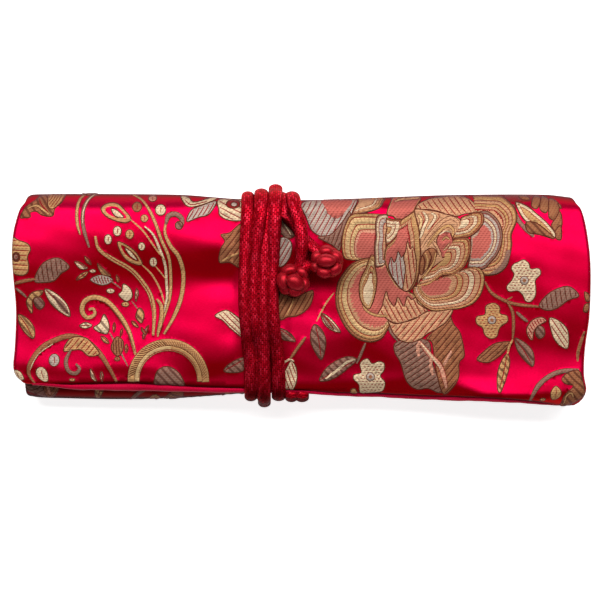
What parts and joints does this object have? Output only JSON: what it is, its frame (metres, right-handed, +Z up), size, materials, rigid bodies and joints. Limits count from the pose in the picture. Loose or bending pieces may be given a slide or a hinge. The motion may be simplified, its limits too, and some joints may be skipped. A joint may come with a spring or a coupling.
{
  "type": "tied brocade jewelry roll",
  "caption": "Padded floral brocade jewelry roll, folded in three and tied round the middle with a doubled crimson satin cord ending in button knots.",
  "frame": {"origin": "middle of the base of the body's box, without the tie cord", "axes": "+Z up, away from the table the roll lies on; +X along the roll; +Y to its top fold"},
  "size_m": [0.2349, 0.0928, 0.0389],
  "materials": {
    "brocade": "satin-ground silk brocade with gold, cream and taupe floral figure",
    "wadding": "matte",
    "satin": "plain satin",
    "zip_metal": "satin",
    "cord_satin": "braided satin cord"
  },
  "bodies": {
    "root": {"brocade_cover": "brocade", "wadding": "wadding", "satin_lining": "satin", "pocket_back": "satin", "pocket_inner": "satin", "pocket_flap": "satin", "zip_back": "satin", "zip_inner": "satin", "zip_flap": "satin", "slider_back": "zip_metal", "slider_inner": "zip_metal", "slider_flap": "zip_metal", "tie_cord_a": "cord_satin", "tie_cord_b": "cord_satin", "button_knot_a": "cord_satin", "button_knot_b": "cord_satin"}
  },
  "joints": []
}
